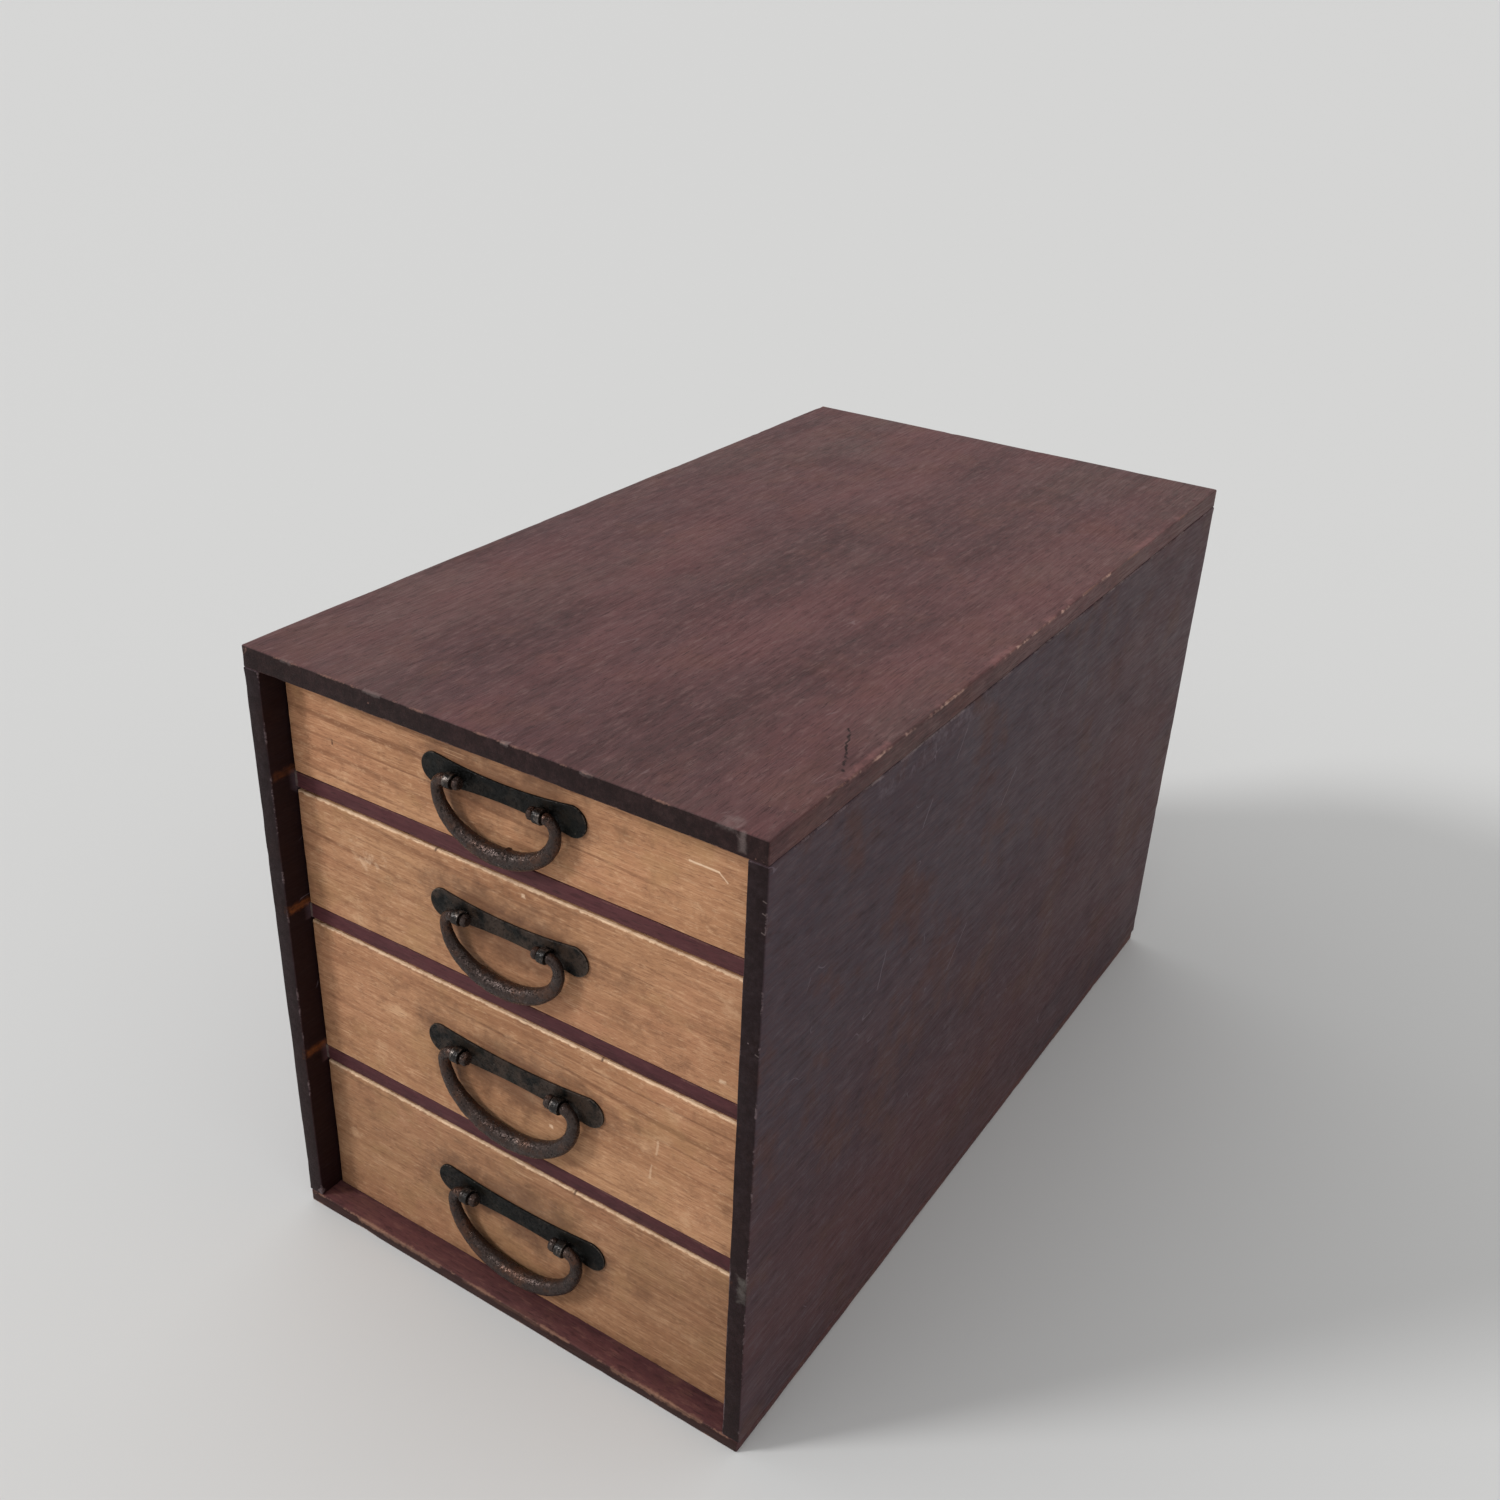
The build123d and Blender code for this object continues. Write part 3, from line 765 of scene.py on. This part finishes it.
def bailStations(size, half, drop, eyeInner, eyeOuter):
    # centre, direction, radius, knob share and hammer share along one half, from the knob to the middle
    knobEnd = eyeInner - bailForm["endPlay"] - size["knobLength"]
    shoulder = eyeOuter + bailForm["endPlay"]
    along = Vector((1.0, 0.0, 0.0))
    profile = knobProfile(size, shoulder, knobEnd)
    stations = [(Vector((knobEnd + s, 0.0, 0.0)), along, r, k, 0.0) for s, r, k in profile]
    quarter = math.pi / 2
    bend = half - shoulder
    sweep = drop - bend
    bendShare = bailForm["bendShare"]
    bendCount = round(bend * quarter / bailForm["step"])
    bowCount = round(quarter * math.sqrt((half ** 2 + sweep ** 2) / 2) / bailForm["step"])
    travelled = 0.0
    last = stations[-1][0]
    for k in range(1, bendCount + bowCount + 1):
        if k <= bendCount:        # round the shoulder
            angle = k / bendCount * quarter
            centre = Vector((shoulder + bend * math.sin(angle), 0.0, -bend + bend * math.cos(angle)))
            heading = Vector((math.cos(angle), 0.0, -math.sin(angle)))
            share = bendShare * k / bendCount
        else:                     # along the bow
            angle = (k - bendCount) / bowCount * quarter
            centre = Vector((half * math.cos(angle), 0.0, -bend - sweep * math.sin(angle)))
            heading = Vector((-half * math.sin(angle), 0.0, -sweep * math.cos(angle))).normalized()
            share = bendShare + (0.5 - bendShare) * (k - bendCount) / bowCount
        thick = math.sin(math.pi * share) ** bailForm["swell"]
        radius = size["shoulder"] * (1 - thick) + size["bow"] * thick
        travelled += (centre - last).length
        last = centre
        stations.append((centre, heading, radius, 0.0, min(1.0, travelled / bailForm["fadeIn"])))
    return stations


def bailPivot(name):
    joint = next(j for j in frame["joints"] if j["child"] == name + "_bail")
    return Vector(joint["pos_m"])


def drawOut(bm, ring):
    # extrude the open ring once, and give the new one in the same order
    loop = [bm.edges.get((vert, ring[(k + 1) % len(ring)])) for k, vert in enumerate(ring)]
    made = bmesh.ops.extrude_edge_only(bm, edges=loop)["geom"]
    fresh = {v for v in made if isinstance(v, bmesh.types.BMVert)}
    return [next(e.other_vert(v) for e in v.link_edges if e.other_vert(v) in fresh) for v in ring]


def forgedBail(name, sizeName, material, seed):
    node = name + "_bail"
    size = bailForm[sizeName]
    low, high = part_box(node)
    pivot = bailPivot(name)
    eyeSpots = [v.co.x for v in frame["nodes"][name + "_eye_pins"].data.vertices if v.co.x > 0]
    drop = pivot.z - low.z - size["bow"] + bailForm["sag"]
    half = high.x - size["shoulder"] - (size["bow"] - size["shoulder"]) * bailForm["swellAtSide"]
    stations = bailStations(size, half, drop, min(eyeSpots), max(eyeSpots))
    for centre, heading, radius, knobShare, hammer in reversed(stations[:-1]):
        centre = Vector((-centre.x, 0.0, centre.z))
        heading = Vector((heading.x, 0.0, -heading.z))
        stations.append((centre, heading, radius, knobShare, hammer))

    sides = bailForm["sides"]
    facet = 2 * math.pi / bailForm["knobSides"]
    burr = bailForm["burr"]
    shift = Vector((seed * 1.1, seed * 2.9, seed * 0.6))
    depth = Vector((0.0, 1.0, 0.0))
    bm = bmesh.new()
    distance = bm.verts.layers.float.new("edgeDistance")
    ring = bmesh.ops.create_circle(bm, cap_ends=True, segments=sides, radius=size["knob"])["verts"]
    for count, (centre, heading, radius, knobShare, hammer) in enumerate(stations):
        if count:
            ring = drawOut(bm, ring)
        across = heading.cross(depth)
        flat = 1 - (1 - bailForm["flat"]) * hammer
        for k, vert in enumerate(ring):
            angle = 2 * math.pi * k / sides
            faceted = math.cos(facet / 2) / math.cos((angle % facet) - facet / 2)
            out = depth * math.cos(angle) * flat + across * math.sin(angle)
            spot = centre + out * radius * (1 + (faceted - 1) * knobShare)
            if hammer:
                dent = bailForm["hammer"] * noise.noise(spot / bailForm["hammerLength"] + shift)
                dent += bailForm["pit"] * noise.noise(spot / bailForm["pitLength"] - shift)
                spot += out * (dent - bailForm["hammer"] * 0.5) * hammer
                if name == burr["bail"] and out.z > burr["upwards"]:
                    spot += out * burr["height"] * max(0.0, 1 - abs(spot.x - burr["x"]) / burr["width"])
            vert.co = spot + pivot
            vert[distance] = bailForm["knobEdge"] if knobShare else bailForm["plainEdge"]
    bmesh.ops.holes_fill(bm, edges=[e for e in bm.edges if e.is_boundary], sides=0)
    bmesh.ops.recalc_face_normals(bm, faces=bm.faces)
    finishPiece(name + "Bail", bm, material, node, node)


# the case, with its marks in metres

caseMarks = {
    # pale wood along the top's right edge, with a painted highlight
    "orange": (148, 84, 40), "rawWoodAndHighlight": (206, 166, 150), "scuff": (150, 134, 130), "crack": (26, 17, 17),
    "pink": (138, 94, 92), "grey": (122, 116, 110),
}
coolZone = {
    "height": (0.08, 0.22), "depth": (0.20, -0.05), "wobble": 0.22, "scale": 9.0, "elsewhere": 0.5,
}
runnerWear = {"upper": 0.35, "middle": 0.75, "lower": 0.75}        # strength above each divider
topWear = {
    "inset": 0.0004,        # the top ends just inside the sides
    "pinkEdge": (-0.225, 0.19), "rawAndLitEdge": (-0.215, 0.08),        # from and to along the right edge
    "scuffOnTop": (0.118, 0.126), "scuffInFront": (0.1278, 0.1303),
    "crack": (        # start, end, width, strength
        ((0.119, -0.161), (0.1275, -0.1775), 0.0009, 0.85),
        ((0.1275, -0.1775), (0.1354, -0.194), 0.0007, 0.8)),
    "knocks": (        # x, half length, strength
        (-0.060, 0.005, 0.25), (-0.112, 0.003, 0.2), (0.014, 0.002, 0.35), (0.056, 0.003, 0.2)),
}
rightWear = {
    "scores": (        # start and end as depth and height
        ((-0.1177, 0.2890), (-0.1250, 0.2775)), ((-0.088, 0.312), (-0.096, 0.300)),
        ((-0.020, 0.262), (-0.034, 0.247)), ((0.040, 0.292), (0.026, 0.281)),
        ((-0.150, 0.225), (-0.156, 0.207)), ((-0.060, 0.190), (-0.078, 0.172))),
    "nicks": (0.3086, 0.3030, 0.2943, 0.2360),        # heights on the front edge
    "scuff": (0.098, 0.112), "seam": 0.20, "scraped": (-0.17, -0.06),
}
# from, to and strength along the ledge
ledgeWear = ((-0.105, -0.045, 0.45), (-0.030, 0.030, 0.15), (0.066, 0.120, 0.38))


def runnerMarks():
    # drawers have rubbed the stain off the inner faces of the sides, just above each divider
    marks = []
    for name, strength in runnerWear.items():
        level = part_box(name + "_divider")[1].z
        low = (-innerX, caseLow.y + 0.002, level + 0.0002)
        high = (innerX, faceY + 0.004, level + 0.0030)
        marks.append(boxMark(low, high, 0.0022, 0.004, caseMarks["orange"], strength))
    return marks


def topMarks():
    # the right edge rubbed down to the wood, with a thin pale line along it that is partly a painted
    # highlight, scuffs, a crack, and knocks along the front edge
    front, high, right = caseLow.y, caseHigh.z, caseHigh.x - topWear["inset"]
    (pinkFrom, pinkTo), (litLineFrom, litLineTo) = topWear["pinkEdge"], topWear["rawAndLitEdge"]
    (topFrom, topTo), (frontFrom, frontTo) = topWear["scuffOnTop"], topWear["scuffInFront"]
    marks = [
        boxMark((right - 0.0036, pinkFrom, high - skin), (right + skin, pinkTo, high + skin),
                0.0018, 0.006, caseMarks["pink"], 0.65, patchy=24.0),
        # thin pale line along the right edge: raw wood and a painted highlight
        boxMark((right - 0.0004, litLineFrom, high - skin), (right + skin, litLineTo, high + skin),
                0.0005, 0.0028, caseMarks["rawWoodAndHighlight"], 0.8, patchy=42.0),
        boxMark((topFrom, front - skin, high - skin), (topTo, front + 0.0075, high + skin),
                0.0020, 0.008, caseMarks["scuff"], 0.26),
        boxMark((frontFrom, front - skin, high - 0.0085), (frontTo, front + skin, high),
                0.0012, 0.003, caseMarks["scuff"], 0.30),
    ]
    for start, end, width, strength in topWear["crack"]:
        marks.append(lineMark((*start, high), (*end, high), width, 0.0050, caseMarks["crack"], strength))
    for x, size, strength in topWear["knocks"]:
        low, top = (x - size, front - skin, high - 0.0012), (x + size, front + 0.0016, high + skin)
        marks.append(boxMark(low, top, 0.0007, 0.004, caseMarks["scuff"], strength))
    return marks


def rightMarks():
    # scratches on the outer face, nicks and a grey scuff on the front edge, wear under the top
    x, front, top = caseHigh.x, caseLow.y, sideHigh.z
    scuffLow, scuffHigh = rightWear["scuff"]
    scrapedFrom, scrapedTo = rightWear["scraped"]
    marks = runnerMarks()
    for start, end in rightWear["scores"]:
        marks.append(lineMark((x, *start), (x, *end), 0.0005, 0.0012, sideStain["score"], 0.55))
    for z in rightWear["nicks"]:
        start, end = (x - 0.002, front, z), (x, front, z - 0.0006)
        marks.append(lineMark(start, end, 0.0004, 0.0, caseMarks["scuff"], 0.28))
    marks.append(boxMark((x - 0.0040, front - skin, scuffLow), (x - 0.0010, front + skin, scuffHigh),
                         0.002, 0.007, caseMarks["grey"], 0.38))
    low, high = (x - skin, front + 0.01, top - 0.0003), (x + skin, rightWear["seam"], top + skin)
    marks.append(boxMark(low, high, 0.0003, 0.0012, caseMarks["scuff"], 0.7, patchy=30.0))
    marks.append(boxMark((x - skin, scrapedFrom, top - 0.010), (x + skin, scrapedTo, top),
                         0.005, 0.014, sideStain["score"], 0.42, patchy=120.0))
    return marks


def ledgeMarks():
    # the front edge of the bottom is scraped to bare wood in places
    front, high = caseLow.y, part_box("bottom_board")[1].z
    marks = []
    for start, end, strength in ledgeWear:
        low, top = (start, front - skin, high - 0.0022), (end, front + 0.0008, high + skin)
        marks.append(boxMark(low, top, 0.0007, 0.005, bottomStain["rub"], strength))
    return marks


def dividerMarks():
    # the left ends of the dividers are rubbed grey
    low, high = (-innerX, -1.0, -1.0), (-innerX + 0.0016, faceY + 0.003, 1.0)
    return [boxMark(low, high, 0.0006, 0.002, caseMarks["grey"], 0.6)]


def dress(node, material):
    # a part whose shape is right keeps its mesh and gets its finish
    slots = frame["nodes"][node].data.materials
    slots.clear()
    slots.append(material)


topMaterial = stainedWood("topStain", "Y", (0.3, 0.2, 0.1), caseStain, marks=topMarks())
rightMaterial = stainedWood(
    "rightSideStain", "Y", (1.3, 0.7, 0.4), sideStain, marks=rightMarks(), zone=coolZone)
leftMaterial = stainedWood(
    "leftSideStain", "Y", (2.9, 1.7, 3.4), sideStain, marks=runnerMarks(), zone=coolZone)
bottomMaterial = stainedWood("bottomStain", "X", (4.1, 2.2, 0.9), bottomStain, marks=ledgeMarks())
dividerMaterial = stainedWood(
    "dividerStain", "X", (0.9, 3.1, 1.6), dividerStain, endShare=0.0, marks=dividerMarks())
backMaterial = stainedWood("backStain", "Z", (5.2, 0.3, 2.1), backStain, endShare=0.0)
pegMaterial = stainedWood("pegStain", "Y", (6.4, 1.2, 0.7), pegStain, endShare=0.0)

caseBoards = [        # piece, node, finish, seed
    ("topBoard", "top_board", topMaterial, 1), ("bottomBoard", "bottom_board", bottomMaterial, 2),
    ("backPanel", "back_panel", backMaterial, 8),
    ("leftSide", "left_side", leftMaterial, 3), ("rightSide", "right_side", rightMaterial, 4),
]
for number, name in enumerate(dividerNames):
    caseBoards.append((name + "Divider", name + "_divider", dividerMaterial, 5 + number))
for name, node, material, seed in caseBoards:
    wornBoard(name, node, material, "case", seed)
for node in ("back_pegs", "top_pegs", "bottom_pegs"):
    dress(node, pegMaterial)
print("case boards worn")


# the drawers

frontTrim = {
    # pale colour of the upper arris: wear and a painted highlight
    "arris": (240, 206, 172), "notch": (74, 46, 34), "pale": (232, 200, 168), "hole": (48, 32, 26),
    # darker towards the lower drawers: painted shade
    "paintedShade": {"top": 0.98, "upper": 0.94, "lower": 0.94, "bottom": 0.86},
    "bail": {"top": "small", "upper": "small", "lower": "large", "bottom": "large"},
    "rusty": ("upper", "lower"),
    "notchAt": {"top": 0.030, "upper": -0.0418, "lower": 0.052, "bottom": 0.0348},
    "gripWide": 0.62, "gripHigh": 1.5,        # darkened wood, in sizes of the plate
}
knocks = {        # low and high corner as x and z, softness, raggedness, colour, strength, patches if any
    "top": [((-0.1030, 0.2906), (-0.1022, 0.2932), 0.0004, 0.001, "hole", 0.95)],
    "upper": [((-0.094, 0.229), (-0.076, 0.239), 0.004, 0.016, "pale", 0.45, 160.0),
              ((0.1142, 0.2004), (0.1172, 0.2020), 0.0007, 0.003, "pale", 0.6),
              ((0.0085, 0.2512), (0.0105, 0.2530), 0.0005, 0.002, "pale", 0.8)],
    "lower": [((0.0205, 0.1268), (0.0225, 0.1284), 0.0005, 0.002, "pale", 0.8)],
    "bottom": [],
}
frontScores = {        # start and end as x and z, width, wobble, strength
    "top": [((0.0967, 0.3035), (0.1105, 0.3032), 0.0006, 0.0015, 0.85),
            ((0.1105, 0.3032), (0.1148, 0.3000), 0.0005, 0.0015, 0.7)],
    "upper": [],
    "lower": [((0.0835, 0.1510), (0.0825, 0.1430), 0.0008, 0.002, 0.32),
              ((0.0800, 0.1350), (0.0790, 0.1270), 0.0008, 0.002, 0.32)],
    "bottom": [],
}


def frontMarks(name):
    # the upper edge painted pale, partly wear and partly a painted highlight along the arris, with a
    # notch, and the knocks and scores that each drawer has
    low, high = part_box(name + "_drawer_front")
    front, rim, notch = low.y - skin, high.z, frontTrim["notchAt"][name]
    marks = [
        # pale line along the upper arris: wear and a painted highlight
        boxMark((low.x, front, rim - 0.0007), (high.x, low.y + 0.0015, rim + skin),
                0.0004, 0.0020, frontTrim["arris"], 0.85),
        boxMark((notch - 0.0006, front, rim - 0.0014), (notch + 0.0006, low.y + 0.002, rim + skin),
                0.0004, 0.0012, frontTrim["notch"], 0.9),
    ]
    if name == "bottom":        # darker towards the right
        marks.append(boxMark((0.075, front, low.z), (0.160, 0.0, high.z - 0.020), 0.030, 0.040,
                             frontPaint["grime"], 0.55))
    for (x0, z0), (x1, z1), soft, ragged, paint, strength, *patchy in knocks[name]:
        start, end = (x0, front, z0), (x1, 0.0, z1)
        marks.append(boxMark(start, end, soft, ragged, frontTrim[paint], strength, *patchy))
    for (x0, z0), (x1, z1), width, wobble, strength in frontScores[name]:
        start, end = (x0, low.y, z0), (x1, low.y, z1)
        marks.append(lineMark(start, end, width, wobble, frontTrim["pale"], strength))
    return marks


sideWood = plainWood("drawerSideWood", "Y", (0.4, 1.9, 0.2))
endWood = plainWood("drawerEndWood", "X", (2.4, 0.6, 1.1))
plateMaterial = blackIron("plateIron", plateIron)
rustyMaterial = blackIron("rustyPlateIron", rustyPlate)
eyeMaterial = blackIron("eyeIron", eyeIron)
bailMaterial = blackIron("bailIron", bailIron)
for number, name in enumerate(drawerNames):
    body = name + "_drawer"
    pivot = bailPivot(name)
    plateLow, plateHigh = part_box(name + "_handle_plate")
    plateSize = plateHigh - plateLow
    grip = (plateSize.x * frontTrim["gripWide"], plateSize.z * frontTrim["gripHigh"])
    shift = (number * 1.37, number * 0.61, number * 2.2)
    # this drawer's colours, with its painted shade
    paint = withPaintedShade(frontPaint, frontTrim["paintedShade"][name])
    wood = drawerFrontWood(name + "FrontWood", shift, pivot.z, grip, frontMarks(name), paint)
    wornBoard(name + "Front", body + "_front", wood, body, 11 + number)
    for part in ("left_side", "right_side", "bottom"):
        dress(body + "_" + part, sideWood)
    for part in ("back", "pegs"):
        dress(body + "_" + part, endWood)
    iron = rustyMaterial if name in frontTrim["rusty"] else plateMaterial
    wornPlate(name + "Plate", name + "_handle_plate", iron, body, 21 + number)
    wornEyes(name + "Eyes", name + "_eye_pins", pivot, eyeMaterial, body)
    forgedBail(name, frontTrim["bail"][name], bailMaterial, 31 + number)
    print(name, "drawer dressed")


# floor, light and camera

studio = {
    "floorRadius": 60.0, "floor": (214, 214, 213), "floorRough": 0.9, "floorGloss": 0.2,
    "sky": (250, 250, 250), "towardsLight": (-0.62, -0.58, 0.53), "dim": 0.54, "bright": 0.90,
    "sunStrength": 1.6, "sunAngle": 12,
}


def makeFloor():
    bm = bmesh.new()
    bmesh.ops.create_circle(bm, cap_ends=True, segments=64, radius=studio["floorRadius"])
    mesh = bpy.data.meshes.new("floor")
    bm.to_mesh(mesh)
    bm.free()
    floor = bpy.data.objects.new("floor", mesh)
    bpy.context.scene.collection.objects.link(floor)
    floor.location.z = caseLow.z
    material, tree, shader = newMaterial("paleFloor")
    shader.inputs["Base Color"].default_value = tone(*studio["floor"])
    shader.inputs["Roughness"].default_value = studio["floorRough"]
    shader.inputs["Specular IOR Level"].default_value = studio["floorGloss"]
    mesh.materials.append(material)


def makeLight():
    # a sky that is brighter at the left in front, and a soft lamp from there
    towards = Vector(studio["towardsLight"]).normalized()
    world = bpy.data.worlds.new("studioWorld")
    world.use_nodes = True
    tree = world.node_tree
    heading = put(tree, "TexCoord").outputs["Generated"]
    facing = measure(tree, "DOT_PRODUCT", heading, towards)
    sky = tree.nodes["Background"]
    sky.inputs["Color"].default_value = tone(*studio["sky"])
    feed(tree, sky.inputs["Strength"], remap(tree, facing, -0.5, 1.0, studio["dim"], studio["bright"]))
    bpy.context.scene.world = world
    lamp = bpy.data.lights.new("windowLight", "SUN")
    lamp.energy = studio["sunStrength"]
    lamp.angle = math.radians(studio["sunAngle"])
    sun = bpy.data.objects.new("windowLight", lamp)
    sun.rotation_mode = "QUATERNION"
    sun.rotation_quaternion = towards.to_track_quat("Z", "Y")
    bpy.context.scene.collection.objects.link(sun)


viewpoint = {
    "place": (0.38305, -0.66255, 0.6259), "turn": (61.7918, -2.2552, 33.0719),        # metres, degrees
    "lens": 36.68, "sensor": 36.0, "farEnd": 300.0,
}


def makeCamera():
    lens = bpy.data.cameras.new("camera")
    lens.lens = viewpoint["lens"]
    lens.sensor_width = viewpoint["sensor"]
    lens.clip_end = viewpoint["farEnd"]
    camera = bpy.data.objects.new("camera", lens)
    turn = Euler([math.radians(angle) for angle in viewpoint["turn"]]).to_matrix().to_4x4()
    camera.matrix_world = Matrix.Translation(viewpoint["place"]) @ turn
    bpy.context.scene.collection.objects.link(camera)
    bpy.context.scene.camera = camera


makeFloor()
makeLight()
makeCamera()
bpy.context.scene.view_settings.view_transform = "Standard"
print("studio ready")
